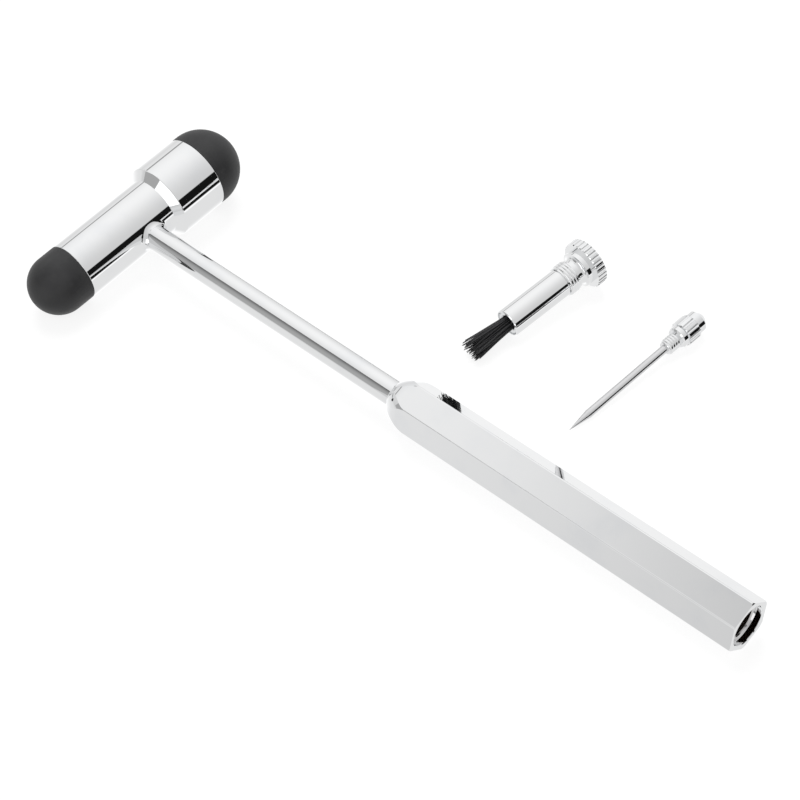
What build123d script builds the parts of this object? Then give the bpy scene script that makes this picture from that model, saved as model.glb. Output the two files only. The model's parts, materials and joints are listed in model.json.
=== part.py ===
from build123d import *
import os
from math import acos, asin, atan2, cos, degrees, hypot, pi, radians, sin, sqrt, tan

# A neurological reflex hammer with its screw-in brush and needle, lying on a table.
# The hammer is built about its own axes and then laid down as it comes to rest:
# +X runs along the shaft to the end of the handle, +Y along the head to the large tip, +Z up.
# The brush and the needle are taken out and lie beside the handle. Sizes are in millimetres.

# Head: one turned body with a small barrel, a sloping step and a large barrel.
# Its lengths are measured along the head from the shaft's axis.
small_barrel_radius = 7.2
large_barrel_radius = 9.25
small_barrel_end = 19.2
step_start = 6.6
step_length = 1.7
large_barrel_end = 20.2
barrel_rim_rounding = 0.2
step_rounding = 0.25

# Rubber tips: a dome, a straight band up to the metal, and a plug pressed into the head.
small_tip_band = 4.35
large_tip_band = 1.6
tip_inset = 0.05
small_plug_radius = 4.0
small_plug_length = 6.0
large_plug_radius = 5.5
large_plug_length = 7.0
plug_clearance = 0.05
plug_end_gap = 0.3
plug_chamfer = 0.5

# Shaft: a rod brazed into the head and the handle, drilled at the head for the needle.
shaft_radius = 2.95
shaft_past_head_axis = 2.0
shaft_in_handle = 22.0
shaft_end_chamfer = 0.3
braze_gap = 0.03
braze_leg = 1.4

# Handle: a hexagonal bar with rounded corners and a turned nose, where its flats bend inwards.
handle_start = 83.2
handle_length = 92.8
handle_across_flats = 10.8
handle_corner_rounding = 0.4
handle_turn = 15.0
handle_end_chamfer = 0.25
nose_length = 7.0
nose_curve_radius = 10.4
nose_run_out = 0.01
flat_bend_length = 4.7
flat_bend_radius = 6.45

# Brush thread and its socket in the handle's end: M8 x 0.75 in a 7.25 mm drilling.
brush_thread_radius = 4.0
brush_thread_pitch = 0.75
brush_socket_radius = 3.625
brush_socket_spare = 2.0
hub_clearance = 0.2
socket_mouth_chamfer = 0.15

# Brush: stations run from the mouth of its tube back to the fluted disc.
brush_tube_clearance = 0.25
brush_tube_wall = 0.4
brush_tube_length = 15.9
brush_tube_lip = 0.2
brush_thread_relief = 0.25
brush_thread_length = 3.2
brush_neck_radius = 3.2
brush_neck_length = 1.75
brush_hub_radius = 4.3
brush_hub_length = 1.6
brush_hub_cove = 1.0
brush_disc_radius = 5.75
brush_disc_thickness = 2.45
brush_disc_chamfer = 0.2
brush_disc_flutes = 32
brush_flute_radius = 0.42
brush_flute_depth = 0.32
brush_fit_clearance = 0.03

# Ferrule that holds the bristles inside the tube.
ferrule_recess = 0.2
ferrule_bore_radius = 1.85
ferrule_rim_chamfer = 0.3
ferrule_hole_depth = 3.6
ferrule_floor = 1.5

# Bristles: stiff fibres that fan out of the ferrule.
bristle_count = 48
bristle_radius = 0.14
bristle_reach = 10.8
bristle_reach_variation = 0.7
bristle_fan_radius = 2.95
bristle_stray = 0.3
bristle_table_gap = 0.1

# Needle thread and its hole in the head: M4 x 0.7 in a 3.3 mm drilling.
needle_thread_radius = 2.0
needle_thread_pitch = 0.7
needle_hole_radius = 1.65
needle_spot_face_depth = 0.45
needle_pocket_radius = 1.25
needle_pocket_spare = 1.2

# Needle: stations run from its point back to the fluted knob.
needle_radius = 0.95
needle_point_length = 5.8
needle_point_flat = 0.06
needle_length = 29.9
needle_in_knob = 8.0
needle_thread_length = 3.7
needle_collar_radius = 2.55
needle_collar_length = 1.65
needle_collar_rounding = 0.3
needle_grip_radius = 2.95
needle_grip_length = 3.5
needle_grip_slope = 0.4
needle_grip_flutes = 12
needle_flute_radius = 0.42
needle_flute_depth = 0.36
needle_cap_radius = 2.55
needle_cap_length = 2.75
needle_cap_rounding = 1.1

# Thread depth as a share of the pitch, from the ISO metric profile.
thread_depth_per_pitch = 0.6134
thread_chamfer = 0.3

# Included angle of a twist drill's point.
drill_point_angle = 118.0

# Where the brush's mouth and the needle's point lie, from the hammer's shaft and head axes,
# and the way each one points, in degrees from the hammer's shaft.
brush_along = 84.65
brush_aside = 33.75
brush_heading = 83.0
needle_along = 113.75
needle_aside = 20.45
needle_heading = 86.2

golden_angle = pi * (3 - sqrt(5))

# Worked-out sizes that more than one piece uses.
step_end = step_start + step_length
small_tip_radius = small_barrel_radius - tip_inset
large_tip_radius = large_barrel_radius - tip_inset
handle_end = handle_start + handle_length
handle_corner_centre = (handle_across_flats / 2 - handle_corner_rounding) / cos(radians(30))
handle_corner_reach = handle_corner_centre + handle_corner_rounding
brush_tube_radius = brush_socket_radius - brush_tube_clearance
brush_tube_bore = brush_tube_radius - brush_tube_wall
brush_thread_root = brush_thread_radius - thread_depth_per_pitch * brush_thread_pitch
brush_thread_start = brush_tube_length + brush_thread_relief
brush_neck_start = brush_thread_start + brush_thread_length
brush_hub_start = brush_neck_start + brush_neck_length
brush_disc_front = brush_hub_start + brush_hub_length
ferrule_hole_end = ferrule_recess + ferrule_hole_depth
brush_spigot_start = ferrule_hole_end + ferrule_floor
hub_recess_radius = brush_hub_radius + hub_clearance
hub_recess_depth = brush_hub_length + brush_fit_clearance
brush_reach = brush_disc_front + bristle_reach + bristle_reach_variation
brush_socket_floor = handle_end - brush_reach - brush_socket_spare
needle_thread_root = needle_thread_radius - thread_depth_per_pitch * needle_thread_pitch
needle_collar_start = needle_length + needle_thread_length
needle_grip_start = needle_collar_start + needle_collar_length
needle_cap_start = needle_grip_start + needle_grip_length
needle_spot_face = small_barrel_radius - needle_spot_face_depth
needle_spot_radius = needle_collar_radius + hub_clearance
needle_pocket_end = needle_collar_start + needle_pocket_spare - needle_spot_face


def turned(points):
    """A solid turned about the X axis, from the (station, radius) points of its outline."""
    corners = [(points[0][0], 0), *points, (points[-1][0], 0)]
    outline = Polyline(*dict.fromkeys(corners), close=True)
    return revolve(make_face(outline), Axis.X)


def rod(start, end, radius):
    """A round bar along the X axis."""
    return turned([(start, radius), (end, radius)])


def fluted(blank, count, crest_radius, cutter_radius, depth, start, end):
    """Cut round flutes along the rim of a turned blank, with a crest straight down."""
    cutter = Pos(0, 0, crest_radius + cutter_radius - depth) * rod(start, end, cutter_radius)
    cutters = [Rot((k + 0.5 * (count % 2 == 0)) * 360 / count, 0, 0) * cutter for k in range(count)]
    return blank - cutters


def head():
    """The chromed head, solid but for the two plug holes, the shaft's socket and the needle's hole."""
    large = large_barrel_radius
    body = turned([
        (-small_barrel_end, small_barrel_radius),
        (step_start, small_barrel_radius),
        (step_end, large),
        (large_barrel_end, large),
    ])
    rims = body.edges().filter_by(GeomType.CIRCLE).sort_by(Axis.X)
    body = fillet([rims[0], rims[-1]], barrel_rim_rounding)
    rims = body.edges().filter_by(GeomType.CIRCLE).filter_by(lambda e: abs(e.center().X - step_end) < 0.01)
    body = fillet(rims, step_rounding)
    small_hole_end = small_plug_length + plug_end_gap - small_barrel_end
    large_hole_end = large_barrel_end - large_plug_length - plug_end_gap
    body -= rod(-small_barrel_end, small_hole_end, small_plug_radius + plug_clearance)
    body -= rod(large_hole_end, large_barrel_end, large_plug_radius + plug_clearance)
    body = Rot(0, 0, 90) * body
    body -= rod(-shaft_past_head_axis, large, shaft_radius + braze_gap)
    body -= rod(-large, -needle_spot_face, needle_spot_radius)
    body -= rod(-large, 0, needle_hole_radius)
    return body


def rubber_tip(band, radius, plug_radius, plug_length):
    """A rubber tip whose seat is at station 0, with its dome towards +X and its plug behind."""
    dome = Line((0, 0), (0, radius)) + Line((0, radius), (band, radius))
    dome += CenterArc((band, 0), radius, 90, -90) + Line((band + radius, 0), (0, 0))
    plug = turned([
        (-plug_length, plug_radius - plug_chamfer),
        (plug_chamfer - plug_length, plug_radius),
        (0, plug_radius),
    ])
    return revolve(make_face(dome.edges()), Axis.X) + plug


def large_tip():
    """The large rubber tip on the +Y end of the head."""
    tip = rubber_tip(large_tip_band, large_tip_radius, large_plug_radius, large_plug_length)
    return Pos(0, large_barrel_end, 0) * Rot(0, 0, 90) * tip


def small_tip():
    """The small rubber tip on the -Y end of the head."""
    tip = rubber_tip(small_tip_band, small_tip_radius, small_plug_radius, small_plug_length)
    return Pos(0, -small_barrel_end, 0) * Rot(0, 0, -90) * tip


def shaft():
    """The rod between head and handle, hollow at the head for the stored needle."""
    start = -shaft_past_head_axis
    end = handle_start + shaft_in_handle
    chamfer = shaft_end_chamfer
    body = turned([
        (start, shaft_radius - chamfer),
        (start + chamfer, shaft_radius),
        (end - chamfer, shaft_radius),
        (end, shaft_radius - chamfer),
    ])
    pocket = turned([
        (start, needle_pocket_radius),
        (needle_pocket_end, needle_pocket_radius),
        (needle_pocket_end + drill_point(needle_pocket_radius), 0),
    ])
    return body - pocket


def shaft_braze():
    """The smoothed fillet of braze where the shaft leaves the head."""
    barrel = Rot(0, 0, 90) * rod(-step_start, step_start, small_barrel_radius)
    stub = rod(0, 2 * small_barrel_radius, shaft_radius)
    joined = barrel + stub
    seam = joined.edges().filter_by(lambda e: e.geom_type not in (GeomType.CIRCLE, GeomType.LINE))
    return fillet(seam, braze_leg) - barrel - stub


def nose_outline(height, length, curve_radius, chamfer):
    """Half of a bar's side view: its end curves in at the nose and is chamfered at the other end."""
    full = handle_start + length
    centre = height - curve_radius
    face_height = centre + sqrt(curve_radius**2 - length**2)
    mid = (full - length / 2, centre + sqrt(curve_radius**2 - (length / 2) ** 2))
    outline = Line((handle_start, 0), (handle_start, face_height))
    outline += ThreePointArc((handle_start, face_height), mid, (full, height))
    outline += Polyline(
        (full, height),
        (handle_end - chamfer, height),
        (handle_end, height - chamfer),
        (handle_end, 0),
        (handle_start, 0),
    )
    return make_face(outline.edges())


def nose_envelope():
    """The handle's turned form: an ogive nose that runs out just above the corners, and a chamfer."""
    radius = handle_corner_reach + nose_run_out
    return revolve(nose_outline(radius, nose_length, nose_curve_radius, handle_end_chamfer), Axis.X)


def bent_flats():
    """The form of two opposite flats, which bend towards the shaft at the nose."""
    flat = handle_across_flats / 2 + nose_run_out
    half = nose_outline(flat, flat_bend_length, flat_bend_radius, nose_run_out)
    side = extrude(Plane.XY * half, 2 * handle_across_flats, both=True)
    return side + Rot(180, 0, 0) * side


def handle():
    """The hexagonal handle, bored for the shaft at its nose and for the brush at its end."""
    section = RegularPolygon(handle_across_flats / 2, 6, major_radius=False)
    section = fillet(section.vertices(), handle_corner_rounding)
    body = Pos(handle_start, 0, 0) * extrude(Plane.YZ * section, handle_length)
    for turn in (30, 90, 150):
        body = body & Rot(turn, 0, 0) * bent_flats()
    body = (Rot(handle_turn, 0, 0) * body) & nose_envelope()
    body -= rod(handle_start, handle_start + shaft_in_handle, shaft_radius + braze_gap)
    return body - brush_socket()


def brush_socket():
    """The space drilled into the handle's end: drill point, threaded bore, chamfer and hub recess."""
    bore = brush_socket_radius
    shoulder = handle_end - hub_recess_depth
    return turned([
        (brush_socket_floor - drill_point(bore), 0),
        (brush_socket_floor, bore),
        (shoulder - thread_chamfer, bore),
        (shoulder, bore + thread_chamfer),
        (shoulder, hub_recess_radius),
        (handle_end - socket_mouth_chamfer, hub_recess_radius),
        (handle_end, hub_recess_radius + socket_mouth_chamfer),
    ])


def drill_point(radius):
    """The length of the cone that a twist drill leaves at the bottom of its hole."""
    return radius / tan(radians(drill_point_angle / 2))


def brush_knob():
    """The turned brush screw: spigot, thread core, neck, hub and fluted disc."""
    spigot = brush_tube_bore - brush_fit_clearance
    root = brush_thread_root
    hub = brush_hub_radius
    chamfer = brush_disc_chamfer
    back = brush_disc_front + brush_disc_thickness
    blank = turned([
        (brush_spigot_start, spigot - thread_chamfer),
        (brush_spigot_start + thread_chamfer, spigot),
        (brush_thread_start, spigot),
        (brush_thread_start, root),
        (brush_neck_start, root),
        (brush_neck_start, brush_neck_radius),
        (brush_hub_start, brush_neck_radius),
        (brush_hub_start, hub),
        (brush_disc_front, hub),
        (brush_disc_front, brush_disc_radius - chamfer),
        (brush_disc_front + chamfer, brush_disc_radius),
        (back - chamfer, brush_disc_radius),
        (back, brush_disc_radius - chamfer),
    ])
    inner_corner = blank.edges().filter_by(GeomType.CIRCLE).filter_by(
        lambda e: abs(e.center().X - brush_hub_start) < 0.01 and abs(e.radius - brush_neck_radius) < 0.01
    )
    blank = fillet(inner_corner, brush_hub_cove)
    return fluted(
        blank,
        brush_disc_flutes,
        brush_disc_radius,
        brush_flute_radius,
        brush_flute_depth,
        brush_disc_front - brush_disc_chamfer,
        back + brush_disc_chamfer,
    )


def brush_tube():
    """The thin chromed tube around the bristles, with a rounded lip."""
    lip = brush_tube_lip
    outer = brush_tube_radius
    sleeve = turned([
        (0, outer - lip),
        (lip, outer),
        (brush_tube_length, outer),
    ])
    return sleeve - rod(0, brush_tube_length, brush_tube_bore)


def brush_ferrule():
    """The cup that grips the bristles, seated against the spigot inside the tube."""
    radius = brush_tube_bore - brush_fit_clearance
    cup = turned([
        (ferrule_recess, radius - ferrule_rim_chamfer),
        (ferrule_recess + ferrule_rim_chamfer, radius),
        (brush_spigot_start, radius),
    ])
    hole = turned([
        (ferrule_recess, ferrule_bore_radius + ferrule_rim_chamfer),
        (ferrule_recess + ferrule_rim_chamfer, ferrule_bore_radius),
        (ferrule_hole_end, ferrule_bore_radius),
    ])
    return cup - hole


def bristle(number):
    """One fibre, from the floor of the ferrule to its tip in the fan."""
    share = sqrt((number + 0.5) / bristle_count)
    turn = number * golden_angle
    mouth_radius = share * (ferrule_bore_radius - bristle_radius - brush_fit_clearance)
    tip_radius = share * bristle_fan_radius
    if number > 0.85 * bristle_count:
        tip_radius += bristle_stray * (1 + sin(3 * turn)) / 2
    reach = bristle_reach + bristle_reach_variation * sin(5 * number)
    lean = accessory_tilt(brush_tube_lip, brush_tube_radius, brush_disc_front, brush_disc_radius)
    room = brush_tube_radius * cos(lean) - (reach + brush_tube_lip) * sin(lean)
    room = (room - bristle_radius - bristle_table_gap) / cos(lean)
    drop = min(1, room / (bristle_fan_radius + bristle_stray))
    height = tip_radius * sin(turn)
    tip = Vector(-reach, tip_radius * cos(turn), height * drop if height < 0 else height)
    mouth = Vector(ferrule_recess, mouth_radius * cos(turn), mouth_radius * sin(turn))
    inside = ferrule_hole_depth - brush_fit_clearance
    base = mouth + (mouth - tip) * (inside / (reach + ferrule_recess))
    along = Plane(origin=base, z_dir=tip - base)
    ends = (Align.CENTER, Align.CENTER, Align.MIN)
    return along * Cylinder(bristle_radius, (tip - base).length, align=ends)


def brush_bristles():
    """The bundle of separate fibres."""
    return Compound([bristle(k).solid() for k in range(bristle_count)])


def needle_shank():
    """The steel needle with its ground point, pressed into the knob."""
    return turned([
        (0, needle_point_flat),
        (needle_point_length, needle_radius),
        (needle_length + needle_in_knob, needle_radius),
    ])


def needle_knob():
    """The turned needle screw: thread core, collar, fluted grip and smooth cap."""
    grip = needle_grip_radius
    cap = needle_cap_radius
    end = needle_cap_start + needle_cap_length
    collar = needle_collar_radius - needle_collar_rounding
    blank = turned([
        (needle_length, needle_thread_root - thread_chamfer / 2),
        (needle_length + thread_chamfer / 2, needle_thread_root),
        (needle_collar_start, needle_thread_root),
        (needle_collar_start, collar),
        (needle_collar_start + needle_collar_rounding, needle_collar_radius),
        (needle_grip_start - needle_collar_rounding, needle_collar_radius),
        (needle_grip_start, collar),
        (needle_grip_start, grip),
        (needle_cap_start - needle_grip_slope, grip),
        (needle_cap_start, cap),
        (end - needle_cap_rounding, cap),
        (end, cap - needle_cap_rounding),
    ])
    knob = fluted(
        blank,
        needle_grip_flutes,
        grip,
        needle_flute_radius,
        needle_flute_depth,
        needle_grip_start - needle_collar_rounding,
        needle_cap_start,
    )
    return knob - rod(needle_length, needle_length + needle_in_knob, needle_radius)


def accessory_tilt(front, front_radius, back, back_radius):
    """The slope of a stepped round part that lies on two of its rims, in radians."""
    return atan2(back_radius - front_radius, back - front)


def lying(along, aside, heading, tilt):
    """The place of a round part that points one way and slopes up towards its knob."""
    return Pos(along, aside, 0) * Rot(0, 0, heading) * Rot(0, -degrees(tilt), 0)


def hammer_rest():
    """How the hammer lies: on the step's edge, the small dome and a corner of the handle's end."""
    dome = small_barrel_end + small_tip_band
    span = step_end + dome
    roll = acos(small_tip_radius / hypot(large_barrel_radius, span)) - atan2(span, large_barrel_radius)
    height = small_tip_radius + dome * sin(roll)
    corner = radians(handle_turn + 240)
    corner_y = handle_corner_centre * cos(corner)
    corner_z = handle_corner_centre * sin(corner)
    end = handle_end - handle_end_chamfer
    drop = (handle_corner_rounding - height - corner_y * sin(roll)) / cos(roll)
    pitch = asin(drop / hypot(end, corner_z)) - atan2(corner_z, end)
    up = Vector(cos(roll) * sin(pitch), sin(roll), cos(roll) * cos(pitch))
    turn_about_x = degrees(atan2(up.Y, up.Z))
    turn_about_y = -degrees(asin(up.X))
    return Rot(0, turn_about_y, 0) * Rot(turn_about_x, 0, 0)


def laid_down(pieces, place):
    """Turn a group of pieces into place and let it down until its lowest point is at z = 0."""
    turned_pieces = {name: place * piece for name, piece in pieces.items()}
    lowest = min(piece.bounding_box().min.Z for piece in turned_pieces.values())
    return {name: Pos(0, 0, -lowest) * piece for name, piece in turned_pieces.items()}, -lowest


def build():
    """Every piece of the hammer, the brush and the needle where it lies, about the box's centre."""
    hammer_place = hammer_rest()
    hammer, hammer_lift = laid_down(
        {
            "head": head(),
            "large_tip": large_tip(),
            "small_tip": small_tip(),
            "shaft": shaft(),
            "shaft_braze": shaft_braze(),
            "handle": handle(),
        },
        hammer_place,
    )
    brush_tilt = accessory_tilt(brush_tube_lip, brush_tube_radius, brush_disc_front, brush_disc_radius)
    brush, _ = laid_down(
        {
            "brush_knob": brush_knob(),
            "brush_tube": brush_tube(),
            "brush_ferrule": brush_ferrule(),
            "brush_bristles": brush_bristles(),
        },
        lying(brush_along, brush_aside, brush_heading, brush_tilt),
    )
    needle_tilt = accessory_tilt(needle_point_length, needle_radius, needle_grip_start, needle_grip_radius)
    needle, _ = laid_down(
        {
            "needle_shank": needle_shank(),
            "needle_knob": needle_knob(),
        },
        lying(needle_along, needle_aside, needle_heading, needle_tilt),
    )
    pieces = {**hammer, **brush, **needle}
    boxes = [piece.bounding_box() for piece in pieces.values()]
    middle_x = (min(b.min.X for b in boxes) + max(b.max.X for b in boxes)) / 2
    middle_y = (min(b.min.Y for b in boxes) + max(b.max.Y for b in boxes)) / 2
    centred = Pos(-middle_x, -middle_y, 0)
    report_mounts(centred * Pos(0, 0, hammer_lift) * hammer_place)
    return {name: centred * piece for name, piece in pieces.items()}


def report_mounts(place):
    """Print the middle and the direction of the two empty threaded holes."""
    brush_middle = (brush_socket_floor + handle_end - hub_recess_depth - thread_chamfer) / 2
    needle_middle = -(needle_spot_face + shaft_past_head_axis) / 2
    origin = (place * Pos(0, 0, 0)).position
    for name, station, sign in (("brush_socket", brush_middle, 1), ("needle_hole", needle_middle, -1)):
        point = (place * Pos(station, 0, 0)).position
        axis = (point - origin).normalized() * (1 if station > 0 else -1) * sign
        print(name, [round(v / 1000, 6) for v in point], [round(v, 6) for v in axis])


os.makedirs("parts", exist_ok=True)
for node, shape in build().items():
    export_step(shape, f"parts/{node}.step")
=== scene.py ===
# %% [markdown]
# A neurological reflex hammer, chromed, with black rubber tips. Its brush and its needle are
# screwed out and lie beside the handle. The solid model already has every piece at its real
# place and size, so this lesson is about finishes: mirror chrome, matt rubber, ground steel,
# and the two things that are too fine for the solids, which are screw threads and bristles.
# %% Load the solid model
import json
import math

import bpy
import numpy as np
from mathutils import Matrix, Vector


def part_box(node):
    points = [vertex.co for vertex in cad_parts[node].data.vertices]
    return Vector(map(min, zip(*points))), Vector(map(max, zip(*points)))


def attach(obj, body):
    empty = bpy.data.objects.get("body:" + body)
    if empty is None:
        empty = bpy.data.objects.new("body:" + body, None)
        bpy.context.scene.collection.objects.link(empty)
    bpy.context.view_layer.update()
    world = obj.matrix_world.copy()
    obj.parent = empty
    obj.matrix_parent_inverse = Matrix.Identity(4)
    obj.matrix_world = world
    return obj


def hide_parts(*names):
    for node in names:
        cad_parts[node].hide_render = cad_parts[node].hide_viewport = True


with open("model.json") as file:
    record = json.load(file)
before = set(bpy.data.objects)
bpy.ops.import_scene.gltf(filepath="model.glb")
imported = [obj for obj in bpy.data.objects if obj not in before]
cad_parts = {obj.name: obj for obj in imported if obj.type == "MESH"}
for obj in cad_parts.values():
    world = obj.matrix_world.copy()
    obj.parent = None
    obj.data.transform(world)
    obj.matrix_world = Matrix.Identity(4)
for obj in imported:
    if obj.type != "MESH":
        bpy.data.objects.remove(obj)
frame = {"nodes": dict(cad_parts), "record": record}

scene = bpy.context.scene
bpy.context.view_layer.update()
nodes = frame["nodes"]
mm = 0.001
print("pieces in the solid model:", sorted(nodes))

# %% [markdown]
# The camera comes first, because a mirror finish looks different from every side. Its place
# and direction were worked out from the straight edges and the round tips in the photograph,
# and its place is written from the needle's hole in the head. The lens is a long one, so the
# handle hardly narrows towards its end.
# %% Camera
needle_hole = next(mount for mount in frame["record"]["mounts"] if mount["name"] == "needle_hole")
camera_place = Vector(needle_hole["pos_m"]) + Vector((0.32549, -0.21763, 0.35035))
view_azimuth = math.radians(47.45)
view_elevation = math.radians(47.60)
view_roll = math.radians(6.02)
camera_lens = 100.9

camera_data = bpy.data.cameras.new("camera")
camera_data.lens = camera_lens
camera_data.sensor_width = 36
camera = bpy.data.objects.new("camera", camera_data)
turn = Matrix.Rotation(view_azimuth, 4, "Z")
tilt = Matrix.Rotation(math.pi / 2 - view_elevation, 4, "X")
roll = Matrix.Rotation(-view_roll, 4, "Z")
camera.matrix_world = Matrix.Translation(camera_place) @ turn @ tilt @ roll
scene.collection.objects.link(camera)
scene.camera = camera
scene.view_settings.view_transform = "Standard"
print("camera looks along", tuple(round(v, 4) for v in -camera.matrix_world.col[2].to_3d()))


# %% [markdown]
# Shader trees and geometry trees are easier to read as sums than as boxes. A Signal wraps one
# output socket, so that a + b, 1 - a or a * b adds the Math node for it. Every other node
# comes from one method, which takes the node's type, its settings and what goes into it.
# %% Helper for node trees
class Signal:
    """One output socket. Arithmetic on signals and plain numbers adds Math nodes."""

    def __init__(self, tree, socket):
        self.tree = tree
        self.socket = socket

    def maths(self, operation, first, second=0.0):
        return self.tree.add("ShaderNodeMath", {"operation": operation}, {0: first, 1: second})

    def __add__(self, other):
        return self.maths("ADD", self, other)

    def __sub__(self, other):
        return self.maths("SUBTRACT", self, other)

    def __mul__(self, other):
        return self.maths("MULTIPLY", self, other)

    def __truediv__(self, other):
        return self.maths("DIVIDE", self, other)

    def __pow__(self, other):
        return self.maths("POWER", self, other)

    def __radd__(self, other):
        return self.maths("ADD", other, self)

    def __rsub__(self, other):
        return self.maths("SUBTRACT", other, self)

    def __rmul__(self, other):
        return self.maths("MULTIPLY", other, self)

    def __rtruediv__(self, other):
        return self.maths("DIVIDE", other, self)

    def call(self, operation, other=0.0):
        """Any other Math operation, such as MAXIMUM, SINE or ABSOLUTE."""
        return self.maths(operation, self, other)

    def ramp(self, start, end, low=0.0, high=1.0):
        """A soft step: low at start, high at end."""
        ease = {"interpolation_type": "SMOOTHSTEP"}
        sockets = {"Value": self, "From Min": start, "From Max": end, "To Min": low, "To Max": high}
        return self.tree.add("ShaderNodeMapRange", ease, sockets)

    def other(self, name):
        """Another output of the same node."""
        return Signal(self.tree, self.socket.node.outputs[name])


class Tree:
    """A node tree that is written from top to bottom."""

    def __init__(self, node_tree):
        self.node_tree = node_tree

    def add(self, kind, settings=None, sockets=None):
        """Add a node, set its settings, then its sockets, and give back its first output."""
        node = self.node_tree.nodes.new(kind)
        for name, value in (settings or {}).items():
            setattr(node, name, value)
        for name, value in (sockets or {}).items():
            if isinstance(value, Signal):
                self.node_tree.links.new(value.socket, node.inputs[name])
            else:
                node.inputs[name].default_value = value
        live = [socket for socket in node.outputs if socket.enabled]
        return Signal(self, live[0]) if live else None

    def vector(self, operation, first, second=(0, 0, 0)):
        return self.add("ShaderNodeVectorMath", {"operation": operation}, {0: first, 1: second})

    def noise(self, place, bump_size, detail=2.0, roughness=0.5):
        """Soft noise from 0 to 1 whose bumps are about bump_size metres across."""
        sockets = {"Vector": place, "Scale": 1 / bump_size, "Detail": detail, "Roughness": roughness}
        return self.add("ShaderNodeTexNoise", {}, sockets)

    def mix(self, share, first, second):
        """A colour between two colours."""
        return self.add("ShaderNodeMix", {"data_type": "RGBA"}, {0: share, 6: first, 7: second})

    def scaled(self, vector, factor):
        """A vector or a colour times a number."""
        return self.add("ShaderNodeVectorMath", {"operation": "SCALE"}, {0: vector, "Scale": factor})

    def object_place(self):
        """Where the point lies in the piece's own coordinates, in metres."""
        return self.add("ShaderNodeTexCoord").other("Object")

    def bump(self, height, distance, below=None):
        """The normal of a relief from 0 to 1 that is distance metres high, on another normal."""
        sockets = {"Height": height, "Strength": 1.0, "Distance": distance}
        if below is not None:
            sockets["Normal"] = below
        return self.add("ShaderNodeBump", {}, sockets)

    def surface(self, sockets):
        """End a material with one Principled shader."""
        shader = self.add("ShaderNodeBsdfPrincipled", {}, sockets)
        self.add("ShaderNodeOutputMaterial", {}, {"Surface": shader})


def empty_material(name):
    """A material with nothing in it yet, and its tree."""
    material = bpy.data.materials.new(name)
    material.use_nodes = True
    material.node_tree.nodes.clear()
    return material, Tree(material.node_tree)


print("helper ready")

# %% [markdown]
# The floor is a plain pale sheet. The camera sees it white because of the light that it gives
# off itself, and its matt share still catches the shadow. The mirrors see the room instead of
# the sheet, which comes next.
# %% Floor
floor_half = 3.0
floor_glow = 0.84
floor_matt = 0.2

floor_mesh = bpy.data.meshes.new("floor")
floor_corners = [(-1, -1, 0), (1, -1, 0), (1, 1, 0), (-1, 1, 0)]
floor_mesh.from_pydata([floor_half * Vector(corner) for corner in floor_corners], [], [(0, 1, 2, 3)])
floor = bpy.data.objects.new("floor", floor_mesh)
scene.collection.objects.link(floor)
floor_white, tree = empty_material("floor_white")
matt = tree.add("ShaderNodeBsdfDiffuse", {}, {"Color": (floor_matt, floor_matt, floor_matt, 1)})
rays = tree.add("ShaderNodeLightPath")
seen = rays + rays.other("Is Glossy Ray") + rays.other("Is Transmission Ray")
glow = tree.add("ShaderNodeEmission", {}, {"Strength": seen.call("MINIMUM", 1.0) * floor_glow})
both = tree.add("ShaderNodeAddShader", {}, {0: matt, 1: glow})
tree.add("ShaderNodeOutputMaterial", {}, {"Surface": both})
floor_mesh.materials.append(floor_white)
floor.visible_glossy = False
print("floor", 2 * floor_half, "m square")

# %% [markdown]
# Chrome has no colour of its own. What we see on it is the studio: a white tent that is
# brightest high up behind the head, a pale table, and the gaps of the tent. Each gap is a patch
# in the sky, given by its direction from the hammer and by how bright it is. A thin dark one
# makes the fine lines on the round parts, and a wide one makes the black band on the head. Some
# patches are bright panels, and two soft ones shade the handle's flats towards its end. All
# tones are what the chrome should show, so they are divided by how much light it gives back.
# %% Studio sky
chrome_tone = 0.9
brightest_azimuth = -45
brightest_elevation = 55
tent_tone = 0.6
tent_glow = 0.3
table_tone = 0.74
table_glow = 0.27
table_bright_azimuth = -60
table_bright_elevations = (-5, -30)
horizon = (-6, 2)
soft_light = 0.5
side_softness = 4
# Each gap: azimuth, half its width, lowest and highest elevation in degrees, tone, softness.
sky_gaps = {
    "doorway": (68, 34, -16, 18, 0.007, 1.0),
    "bright_sill": (68, 34, -21, -16.5, 1.0, 1.2),
    "left_seam": (-70, 26, 20, 25, 0.3, 1.2),
    "back_seam": (-32, 16, -11, -7.5, 0.05, 1.2),
    "lit_panel": (176, 24, -16, 22, 1.3, 1.0),
    "panel_foot": (160, 18, -29, -17, 0.28, 1.5),
    "roof_shade": (-105, 34, 68, 90, 0.5, 8.0),
    "table_shade": (-172, 30, -50, -28, 0.58, 5.0),
}


def direction(azimuth, elevation):
    """The unit vector of a direction, with azimuth 0 along +Y and 90 along +X, in degrees."""
    flat = math.cos(math.radians(elevation))
    east = flat * math.sin(math.radians(azimuth))
    north = flat * math.cos(math.radians(azimuth))
    return (east, north, math.sin(math.radians(elevation)))


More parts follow.
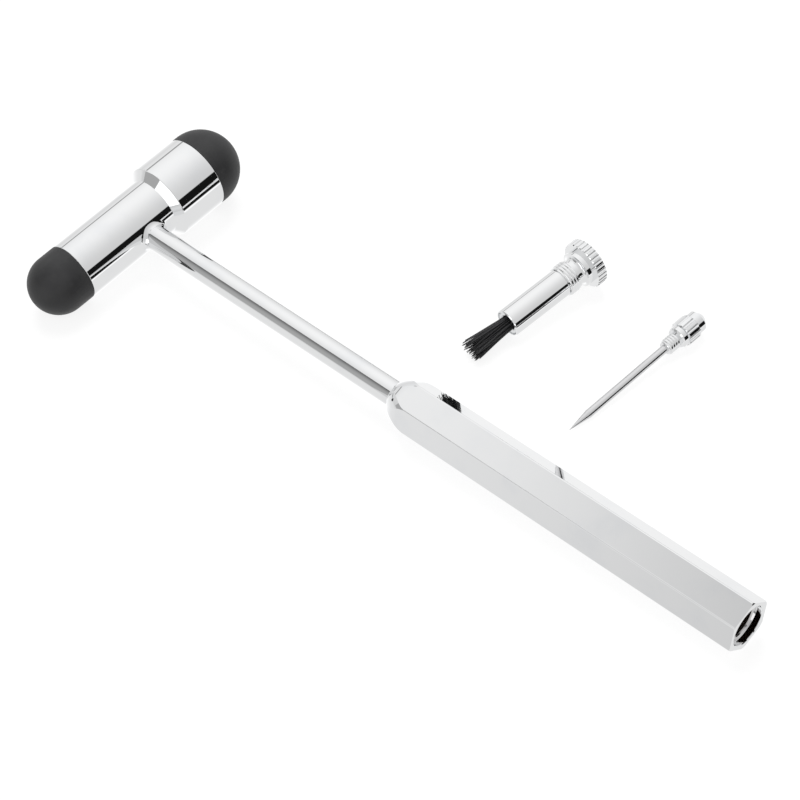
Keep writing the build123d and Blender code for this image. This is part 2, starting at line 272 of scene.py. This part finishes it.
world = bpy.data.worlds.new("studio")
scene.world = world
world.use_nodes = True
world.node_tree.nodes.clear()
world.cycles.sampling_method = "NONE"
tree = Tree(world.node_tree)
gaze = tree.add("ShaderNodeTexCoord")
across = tree.add("ShaderNodeSeparateXYZ", {}, {0: gaze})
azimuth = across.call("ARCTAN2", across.other("Y")) * math.degrees(1)
elevation = across.other("Z").call("ARCSINE") * math.degrees(1)
towards_glow = tree.vector("DOT_PRODUCT", gaze, direction(brightest_azimuth, brightest_elevation))
towards_glow = towards_glow.other("Value").call("MAXIMUM", 0.0)
tent = tent_tone + tent_glow * towards_glow**2
table_side = (azimuth - table_bright_azimuth) * math.radians(1)
table_side = table_side.call("COSINE").call("MAXIMUM", 0.0) ** 3
table = table_tone + table_glow * table_side * elevation.ramp(*table_bright_elevations)
above = elevation.ramp(*horizon)
studio = tent * above + table * (1 - above)
for gap_azimuth, half_width, lowest, highest, tone, soft in sky_gaps.values():
    # The angle from the middle of the gap, brought to between -180 and 180 degrees.
    sideways = (azimuth - gap_azimuth + 540).call("FLOORED_MODULO", 360) - 180
    sideways = sideways.call("ABSOLUTE").ramp(half_width, half_width - side_softness * soft)
    upright = elevation.ramp(lowest - soft, lowest + soft)
    upright = upright * elevation.ramp(highest + soft, highest - soft)
    share = sideways * upright
    studio = studio * (1 - share) + tone * share
rays = tree.add("ShaderNodeLightPath")
in_mirror = (rays.other("Is Glossy Ray") + rays.other("Is Transmission Ray")).call("MINIMUM", 1.0)
level = rays + (1 - rays) * (in_mirror * studio / chrome_tone + (1 - in_mirror) * soft_light)
background = tree.add("ShaderNodeBackground", {}, {"Color": (1, 1, 1, 1), "Strength": level})
tree.add("ShaderNodeOutputWorld", {}, {"Surface": background})
print("studio sky with", len(sky_gaps), "gaps")

# %% [markdown]
# The shaft and the nose of the handle show a grey band with a dark edge. It comes from a sheet
# that stands near the hammer, because a far one would show along the whole handle. So this one
# is a real sheet. Only mirrors see it, and it casts no shadow.
# %% Grey sheet beside the table
sheet_y = -0.355
sheet_x = (-0.560, -0.197)
sheet_low = 0.035
sheet_high = 0.570
sheet_top_tone = 0.12
sheet_foot_tone = 0.37
sheet_rim_share = 0.2

sheet_mesh = bpy.data.meshes.new("grey_sheet")
sheet_corners = [(sheet_x[0], sheet_low), (sheet_x[1], sheet_low)]
sheet_corners += [(sheet_x[1], sheet_high), (sheet_x[0], sheet_high)]
sheet_mesh.from_pydata([(x, sheet_y, z) for x, z in sheet_corners], [], [(0, 1, 2, 3)])
sheet = bpy.data.objects.new("grey_sheet", sheet_mesh)
scene.collection.objects.link(sheet)
sheet_grey, tree = empty_material("sheet_grey")
height = tree.add("ShaderNodeSeparateXYZ", {}, {0: tree.object_place()})
height = (height.other("Z") - sheet_low) / (sheet_high - sheet_low)
grey = height.ramp(1.0, 0.15, sheet_top_tone, sheet_foot_tone)
grey = grey * height.ramp(0.985, 0.96, sheet_rim_share, 1.0)
glow = tree.add("ShaderNodeEmission", {}, {"Strength": grey / chrome_tone})
tree.add("ShaderNodeOutputMaterial", {}, {"Surface": glow})
sheet_mesh.materials.append(sheet_grey)
sheet.visible_camera = False
sheet.visible_diffuse = False
sheet.visible_shadow = False
print("grey sheet stands at y =", sheet_y)

# %% [markdown]
# The matt pieces and the floor need real lamps for their shading. Two large soft ones hang
# high up. Mirrors don't see them, because a square lamp in the chrome would look wrong.
# %% Lamps
# Each lamp: place in metres, size of its square in metres, power in watts.
lamps = {
    "key": ((-0.35, 0.30, 0.75), 0.60, 5.5),
    "fill": ((0.55, -0.45, 0.70), 0.80, 3.0),
}

for name, (place, size, power) in lamps.items():
    lamp_data = bpy.data.lights.new(name, "AREA")
    lamp_data.size = size
    lamp_data.energy = power
    lamp = bpy.data.objects.new(name, lamp_data)
    aim = Vector(place).to_track_quat("Z", "Y").to_matrix().to_4x4()
    lamp.matrix_world = Matrix.Translation(place) @ aim
    scene.collection.objects.link(lamp)
    lamp.visible_glossy = False
print("lamps:", ", ".join(lamps))


# %% [markdown]
# Chrome plating is a mirror, but never a perfect one. Polishing leaves the surface slightly
# wavy over some millimetres, the plating adds a very fine orange peel, and handling leaves
# faint smears that only change how sharp the mirror is.
# %% Chrome finish
chrome_colour = (0.90, 0.905, 0.91, 1)
chrome_dull_colour = (0.86, 0.87, 0.885, 1)
clean_roughness = 0.025
smeared_roughness = 0.055
smear_size = 9 * mm
peel_size = 0.6 * mm
peel_height = 0.0006 * mm


def chrome_surface(tree, wave_size, wave_height):
    """The colour, roughness and normal of chrome, from its smears, waves and orange peel."""
    place = tree.object_place()
    smear = tree.noise(place, smear_size, 3.0, 0.6)
    colour = tree.mix(smear.ramp(0.45, 0.8), chrome_colour, chrome_dull_colour)
    roughness = smear.ramp(0.4, 0.8, clean_roughness, smeared_roughness)
    waves = tree.noise(place, wave_size, 1.0)
    peel = tree.noise(place, peel_size, 1.0)
    normal = tree.bump(peel, peel_height, tree.bump(waves, wave_height))
    return colour, roughness, normal


def chrome(name, wave_size, wave_height):
    """Plain chrome, with waves as wide and as high as the piece's polishing leaves them."""
    material, tree = empty_material(name)
    colour, roughness, normal = chrome_surface(tree, wave_size, wave_height)
    tree.surface({"Base Color": colour, "Metallic": 1.0, "Roughness": roughness, "Normal": normal})
    return material


def dress(name, material):
    """Give a solid node its finish."""
    nodes[name].data.materials.clear()
    nodes[name].data.materials.append(material)


turned_chrome = chrome("turned_chrome", 9 * mm, 0.012 * mm)
small_chrome = chrome("small_chrome", 4 * mm, 0.004 * mm)
for name in ("head", "shaft", "shaft_braze"):
    dress(name, turned_chrome)
for name in ("brush_tube", "brush_knob", "needle_knob"):
    dress(name, small_chrome)
print("chrome on the turned pieces")

# %% [markdown]
# The plating doesn't reach far into the handle. Deeper in, its bore keeps the stained brown of
# the bare metal. The mask asks how far a point lies from the handle's axis and how deep it is,
# and the axis comes from the record, where the brush's socket is a mount.
# %% Handle finish
socket = next(mount for mount in frame["record"]["mounts"] if mount["name"] == "brush_socket")
handle_axis = Vector(socket["axis"]).normalized()
socket_middle = Vector(socket["pos_m"])
mouth_radius = 4.75 * mm
mask_edge = 0.1 * mm
mask_start = -socket["dims"]["length_mm"] * mm
mask_run_in = 2 * mm
handle_high = Vector(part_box("handle")[1])
handle_end = (handle_high - socket_middle).dot(handle_axis)
plated_depth = 1.2 * mm
bare_depth = 2.6 * mm
bare_brown = (0.16, 0.115, 0.085)
bare_roughness = 0.3
stain_size = 1.2 * mm

handle_chrome, tree = empty_material("handle_chrome")
colour, roughness, normal = chrome_surface(tree, 14 * mm, 0.016 * mm)
place = tree.object_place()
from_middle = tree.vector("SUBTRACT", place, tuple(socket_middle))
along = tree.vector("DOT_PRODUCT", from_middle, tuple(handle_axis)).other("Value")
outwards = tree.vector("SUBTRACT", from_middle, tree.scaled(tuple(handle_axis), along))
radius = tree.vector("LENGTH", outwards).other("Value")
inside = radius.ramp(mouth_radius + mask_edge, mouth_radius)
inside = inside * along.ramp(mask_start, mask_start + mask_run_in)
depth = handle_end - along
bare = inside * depth.ramp(plated_depth, bare_depth)
stain = tree.noise(place, stain_size, 4.0, 0.7).ramp(0.3, 0.7, 0.5, 1.4)
tree.surface({
    "Base Color": tree.mix(bare, colour, tree.scaled(bare_brown, stain)),
    "Metallic": 1.0,
    "Roughness": roughness + bare * bare_roughness,
    "Normal": normal,
})
dress("handle", handle_chrome)
print("bore of the handle is bare from", round(bare_depth / mm, 1), "mm inwards")

# %% [markdown]
# The tips are black rubber with a satin skin: a very fine grain, slightly uneven gloss, and a
# colour that never gets quite black, because dust and skin grease sit on it.
# %% Rubber finish
rubber_dark = (0.015, 0.015, 0.016, 1)
rubber_light = (0.025, 0.025, 0.026, 1)

bloom_size = 5 * mm
grain_size = 0.25 * mm
grain_height = 0.012 * mm

rubber, tree = empty_material("black_rubber")
place = tree.object_place()
bloom = tree.noise(place, bloom_size, 3.0, 0.6)
grain = tree.noise(place, grain_size, 2.0)
tree.surface({
    "Base Color": tree.mix(bloom.ramp(0.35, 0.7), rubber_dark, rubber_light),
    "Roughness": bloom.ramp(0.3, 0.75, 0.48, 0.6),
    "Normal": tree.bump(grain, grain_height),
})
for name in ("large_tip", "small_tip"):
    dress(name, rubber)
print("rubber on both tips")


# %% [markdown]
# Threads and bristles follow the axis of the piece that carries them. A turned piece's axis is
# the direction in which its points spread the most, which works for anything long and round.
# %% Axes of the brush and the needle
def own_points(name):
    """The different points of a solid node."""
    points = np.array([vertex.co for vertex in nodes[name].data.vertices])
    return np.unique(points.round(6), axis=0)


def long_axis(name, towards):
    """Where a long round piece starts, its axis, and its length, pointing towards another piece."""
    points = own_points(name)
    middle = points.mean(axis=0)
    axis = np.linalg.svd(points - middle)[2][0]
    if (own_points(towards).mean(axis=0) - middle) @ axis < 0:
        axis = -axis
    stations = (points - middle) @ axis
    length = float(stations.max() - stations.min())
    return Vector(middle + stations.min() * axis), Vector(axis), length


def placed(start, axis):
    """The matrix that puts +Z along an axis, and +Y as far up as it goes."""
    forward = axis.normalized()
    side = Vector((0, 0, 1)).cross(forward).normalized()
    upright = forward.cross(side)
    turned = Matrix((side, upright, forward)).transposed().to_4x4()
    return Matrix.Translation(start) @ turned


brush_mouth, brush_axis, brush_tube_length = long_axis("brush_tube", "brush_knob")
needle_point, needle_axis, needle_shank_length = long_axis("needle_shank", "needle_knob")
print("brush tube", round(brush_tube_length / mm, 2), "mm long")
print("needle shank", round(needle_shank_length / mm, 2), "mm long")


# %% [markdown]
# A geometry tree is a small machine with named inputs. It is hung on an empty object, its
# inputs are set by their identifiers, and what comes out is kept as a plain mesh. The machine
# is then taken off again, so that nothing depends on it any more.
# %% Helper for geometry trees
def geometry_tree(name, inputs):
    """A new geometry tree and a signal for each of its named inputs."""
    group = bpy.data.node_groups.new(name, "GeometryNodeTree")
    group.interface.new_socket("Geometry", in_out="OUTPUT", socket_type="NodeSocketGeometry")
    for label, kind in inputs.items():
        group.interface.new_socket(label, in_out="INPUT", socket_type=kind)
    tree = Tree(group)
    first = tree.add("NodeGroupInput")
    return group, tree, {label: first.other(label) for label in inputs}


def close_tree(tree, mesh, material):
    """End a geometry tree: smooth shading, its material, and real faces."""
    smooth = tree.add("GeometryNodeSetShadeSmooth", {}, {0: mesh})
    coated = tree.add("GeometryNodeSetMaterial", {}, {"Geometry": smooth, "Material": material})
    real = tree.add("GeometryNodeRealizeInstances", {}, {0: coated})
    tree.add("NodeGroupOutput", {}, {0: real})


def grown(name, group, values, place):
    """The plain mesh that a geometry tree makes from its inputs, moved to its place."""
    piece = bpy.data.objects.new(name, bpy.data.meshes.new(name))
    scene.collection.objects.link(piece)
    modifier = piece.modifiers.new(group.name, "NODES")
    modifier.node_group = group
    for item in group.interface.items_tree:
        if item.in_out == "INPUT":
            modifier[item.identifier] = values[item.name]
    graph = bpy.context.evaluated_depsgraph_get()
    made = bpy.data.meshes.new_from_object(piece.evaluated_get(graph))
    piece.modifiers.clear()
    piece.data = made
    made.transform(place)
    made.name = name
    print(name, len(made.polygons), "faces")
    return piece


# %% [markdown]
# A screw thread is one ridge wound round a core. A spiral gives its path, and a small ellipse
# that is half sunk in the core gives its rounded, plated crest. The ridge starts and ends by
# shrinking into the core, as a real thread runs out.
# %% Thread tree
thread_inputs = {
    "Core Radius": "NodeSocketFloat",
    "Pitch": "NodeSocketFloat",
    "Turns": "NodeSocketFloat",
    "Ridge Height": "NodeSocketFloat",
    "Ridge Width": "NodeSocketFloat",
    "Material": "NodeSocketMaterial",
}
steps_per_turn = 48
ridge_sides = 14
run_out = 0.09
run_out_scale = 0.35

thread_group, tree, given = geometry_tree("thread", thread_inputs)
spiral = tree.add("GeometryNodeCurveSpiral", {}, {
    "Resolution": steps_per_turn,
    "Rotations": given["Turns"],
    "Start Radius": given["Core Radius"],
    "End Radius": given["Core Radius"],
    "Height": given["Turns"] * given["Pitch"],
    "Reverse": False,
})
spiral = tree.add("GeometryNodeSetCurveNormal", {"mode": "Z_UP"}, {0: spiral})
share = tree.add("GeometryNodeSplineParameter")
taper = share.ramp(0.0, run_out, run_out_scale) * share.ramp(1.0, 1 - run_out, run_out_scale)
ellipse = tree.add("GeometryNodeCurvePrimitiveCircle", {}, {"Resolution": ridge_sides, "Radius": 1.0})
shape = tree.add("ShaderNodeCombineXYZ", {}, {
    0: given["Ridge Width"] / 2,
    1: given["Ridge Height"],
    2: 1.0,
})
ellipse = tree.add("GeometryNodeTransform", {}, {"Geometry": ellipse, "Scale": shape})
sweep = {"Curve": spiral, "Profile Curve": ellipse, "Scale": taper, "Fill Caps": True}
ridge = tree.add("GeometryNodeCurveToMesh", {}, sweep)
close_tree(tree, ridge, given["Material"])
print("thread tree with inputs", ", ".join(thread_inputs))

# %% [markdown]
# The brush screw is M8 x 0.75 and the needle's is M4 x 0.7. The solids stop at the bottom of
# each thread, so the ridges stand on them. The thread depth is the metric one, 0.6134 pitches.
# The brush's thread starts behind a small relief groove, and the needle's where the shank
# goes into its knob.
# %% Threads of the brush and the needle
depth_per_pitch = 0.6134
ridge_share = 0.84
brush_relief = 0.25 * mm
shank_in_knob = 8.0 * mm
brush_thread_start = brush_mouth + (brush_tube_length + brush_relief) * brush_axis
needle_thread_start = needle_point + (needle_shank_length - shank_in_knob) * needle_axis
# Each thread: start, axis, outer radius, pitch and length.
threads = {
    "brush_thread": (brush_thread_start, brush_axis, 4.0 * mm, 0.75 * mm, 3.2 * mm),
    "needle_thread": (needle_thread_start, needle_axis, 2.0 * mm, 0.7 * mm, 3.7 * mm),
}

for name, (start, axis, outer, pitch, length) in threads.items():
    height = depth_per_pitch * pitch
    width = ridge_share * pitch
    turns = (length - width) / pitch
    piece = grown(name, thread_group, {
        "Core Radius": outer - height,
        "Pitch": pitch,
        "Turns": turns,
        "Ridge Height": height,
        "Ridge Width": width,
        "Material": small_chrome,
    }, placed(start + width / 2 * axis, axis))
    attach(piece, "root")

# %% [markdown]
# The bristles are stiff black nylon. They leave the ferrule as a tight round bundle and fan
# out towards their tips, each with its own length and a slight bend. The golden angle spreads
# them evenly in the bundle. The underside of the fan is pressed a little flatter, because the
# brush lies on the table.
# %% Bristle tree
bristle_inputs = {
    "Count": "NodeSocketInt",
    "Mouth Radius": "NodeSocketFloat",
    "Fan Radius": "NodeSocketFloat",
    "Stray": "NodeSocketFloat",
    "Root Depth": "NodeSocketFloat",
    "Reach": "NodeSocketFloat",
    "Reach Spread": "NodeSocketFloat",
    "Fibre Radius": "NodeSocketFloat",
    "Flatten": "NodeSocketFloat",
    "Material": "NodeSocketMaterial",
}
fibre_points = 10
fibre_sides = 7
golden_angle = math.pi * (3 - math.sqrt(5))
fibre_seed = 7
turn_jitter = 0.25
swirl_jitter = 0.3
most_bend = 1.35
tip_start = 0.93
tip_scale = 0.6
thinnest = 0.85
thickest = 1.1

bristle_group, tree, given = geometry_tree("bristles", bristle_inputs)
roots = tree.add("GeometryNodePoints", {}, {"Count": given["Count"]})
straight = tree.add("GeometryNodeCurvePrimitiveLine", {}, {"End": (0, 0, 1)})
straight = tree.add("GeometryNodeResampleCurve", {}, {"Curve": straight, "Count": fibre_points})
fibres = tree.add("GeometryNodeInstanceOnPoints", {}, {"Points": roots, "Instance": straight})
fibres = tree.add("GeometryNodeRealizeInstances", {}, {0: fibres})
number = tree.add("GeometryNodeInputIndex")
number = tree.add("GeometryNodeFieldOnDomain", {"domain": "CURVE", "data_type": "INT"}, {0: number})


def chance(low, high, seed):
    """A random number for each fibre, the same along its whole length."""
    sockets = {2: float(low), 3: float(high), "ID": number, "Seed": seed}
    return tree.add("FunctionNodeRandomValue", {"data_type": "FLOAT"}, sockets)


# Rank is how far out in the bundle a fibre sits, and out is how far it is on its way to the tip.
rank = ((number + 0.5) / given["Count"]) ** 0.5
turn = number * golden_angle + chance(-turn_jitter, turn_jitter, fibre_seed)
reach = given["Reach"] + given["Reach Spread"] * chance(-1, 0.6, fibre_seed + 1)
share = tree.add("GeometryNodeSplineParameter")
height = share * (reach + given["Root Depth"]) - given["Root Depth"]
out = (height / reach).call("MAXIMUM", 0.0)
stray = given["Stray"] * chance(-0.6, 1, fibre_seed + 2) * rank
width = given["Mouth Radius"] * rank + out ** chance(1.0, most_bend, fibre_seed + 3) * (
    (given["Fan Radius"] - given["Mouth Radius"]) * rank + stray
)
swirl = turn + out * chance(-swirl_jitter, swirl_jitter, fibre_seed + 4)
side = width * swirl.call("COSINE")
rise = width * swirl.call("SINE")
rise = rise.call("MAXIMUM", 0.0) + rise.call("MINIMUM", 0.0) * (1 + out * (given["Flatten"] - 1))
place = tree.add("ShaderNodeCombineXYZ", {}, {0: side, 1: rise, 2: height})
fibres = tree.add("GeometryNodeSetPosition", {}, {"Geometry": fibres, "Position": place})
thin = share.ramp(tip_start, 1.0, 1.0, tip_scale) * chance(thinnest, thickest, fibre_seed + 5)
thin = thin * given["Fibre Radius"]
shade ={"Geometry": fibres, "Name": "shade", "Value": chance(0, 1, fibre_seed + 6)}
on_points = {"data_type": "FLOAT", "domain": "POINT"}
fibres = tree.add("GeometryNodeStoreNamedAttribute", on_points, shade)
circle = tree.add("GeometryNodeCurvePrimitiveCircle", {}, {"Resolution": fibre_sides, "Radius": 1.0})
sweep = {"Curve": fibres, "Profile Curve": circle, "Scale": thin, "Fill Caps": True}
bundle = tree.add("GeometryNodeCurveToMesh", {}, sweep)
close_tree(tree, bundle, given["Material"])
print("bristle tree with inputs", ", ".join(bristle_inputs))

# %% [markdown]
# Nylon bristle is almost black, with a satin sheen along each fibre. The shade that the tree
# stored for each fibre makes some of them a little lighter, so the bundle doesn't look solid.
# %% Nylon finish
nylon_dark = (0.010, 0.010, 0.011, 1)
nylon_light = (0.035, 0.035, 0.037, 1)
scuff_size = 0.5 * mm

nylon, tree = empty_material("black_nylon")
shade = tree.add("ShaderNodeAttribute", {"attribute_name": "shade"}).other("Fac")
scuff = tree.noise(tree.object_place(), scuff_size, 2.0)
tree.surface({
    "Base Color": tree.mix(shade * scuff.ramp(0.3, 0.7, 0.4, 1.0), nylon_dark, nylon_light),
    "Roughness": scuff.ramp(0.3, 0.7, 0.34, 0.5),
})
print("nylon ready")

# %% [markdown]
# The tree is now fed with the brush's real sizes. The bundle starts just off the floor of the
# ferrule and reaches past the mouth of the tube, so it points against the brush's axis.
# %% Bristles
bristle_count = 100
ferrule_floor_depth = 3.75 * mm
bristle_reach = 10.9 * mm

bristles = grown("bristles", bristle_group, {
    "Count": bristle_count,
    "Mouth Radius": 1.68 * mm,
    "Fan Radius": 2.85 * mm,
    "Stray": 0.4 * mm,
    "Root Depth": ferrule_floor_depth,
    "Reach": bristle_reach,
    "Reach Spread": 0.8 * mm,
    "Fibre Radius": 0.12 * mm,
    "Flatten": 0.6,
    "Material": nylon,
}, placed(brush_mouth, -brush_axis))
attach(bristles, "root")
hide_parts("brush_bristles")

# %% [markdown]
# The ferrule inside the tube is bright drawn metal, a little duller than chrome.
# %% Ferrule finish
ferrule_dark = (0.74, 0.75, 0.76, 1)
ferrule_light = (0.84, 0.85, 0.86, 1)
draw_mark_size = 0.7 * mm
draw_mark_height = 0.006 * mm

ferrule_metal, tree = empty_material("ferrule_metal")
draw_marks = tree.noise(tree.object_place(), draw_mark_size, 3.0)
tree.surface({
    "Base Color": tree.mix(draw_marks, ferrule_dark, ferrule_light),
    "Metallic": 1.0,
    "Roughness": draw_marks.ramp(0.3, 0.7, 0.16, 0.3),
    "Normal": tree.bump(draw_marks, draw_mark_height),
})
dress("brush_ferrule", ferrule_metal)
print("ferrule ready")

# %% [markdown]
# The needle is steel that was ground along its length, so its reflections are drawn out into
# streaks. Noise that is stretched along the needle gives them. A Mapping node turns the
# pattern, so that its long direction follows the needle.
# %% Needle finish
steel_light = (0.86, 0.86, 0.865, 1)
steel_dark = (0.62, 0.62, 0.63, 1)
streak_width = 0.12 * mm
streak_length = 6 * mm
streak_height = 0.004 * mm

steel, tree = empty_material("ground_steel")
needle_turn = placed(needle_point, needle_axis).to_3x3().inverted().to_euler()
mapping = {"Vector": tree.object_place(), "Rotation": tuple(needle_turn)}
along_needle = tree.add("ShaderNodeMapping", {}, mapping)
drawn_out = tree.vector("MULTIPLY", along_needle, (1, 1, streak_width / streak_length))
streaks = tree.noise(drawn_out, streak_width, 2.0, 0.6)
tree.surface({
    "Base Color": tree.mix(streaks, steel_dark, steel_light),
    "Metallic": 1.0,
    "Roughness": streaks.ramp(0.3, 0.7, 0.06, 0.14),
    "Normal": tree.bump(streaks, streak_height),
})
dress("needle_shank", steel)
print("needle ready")
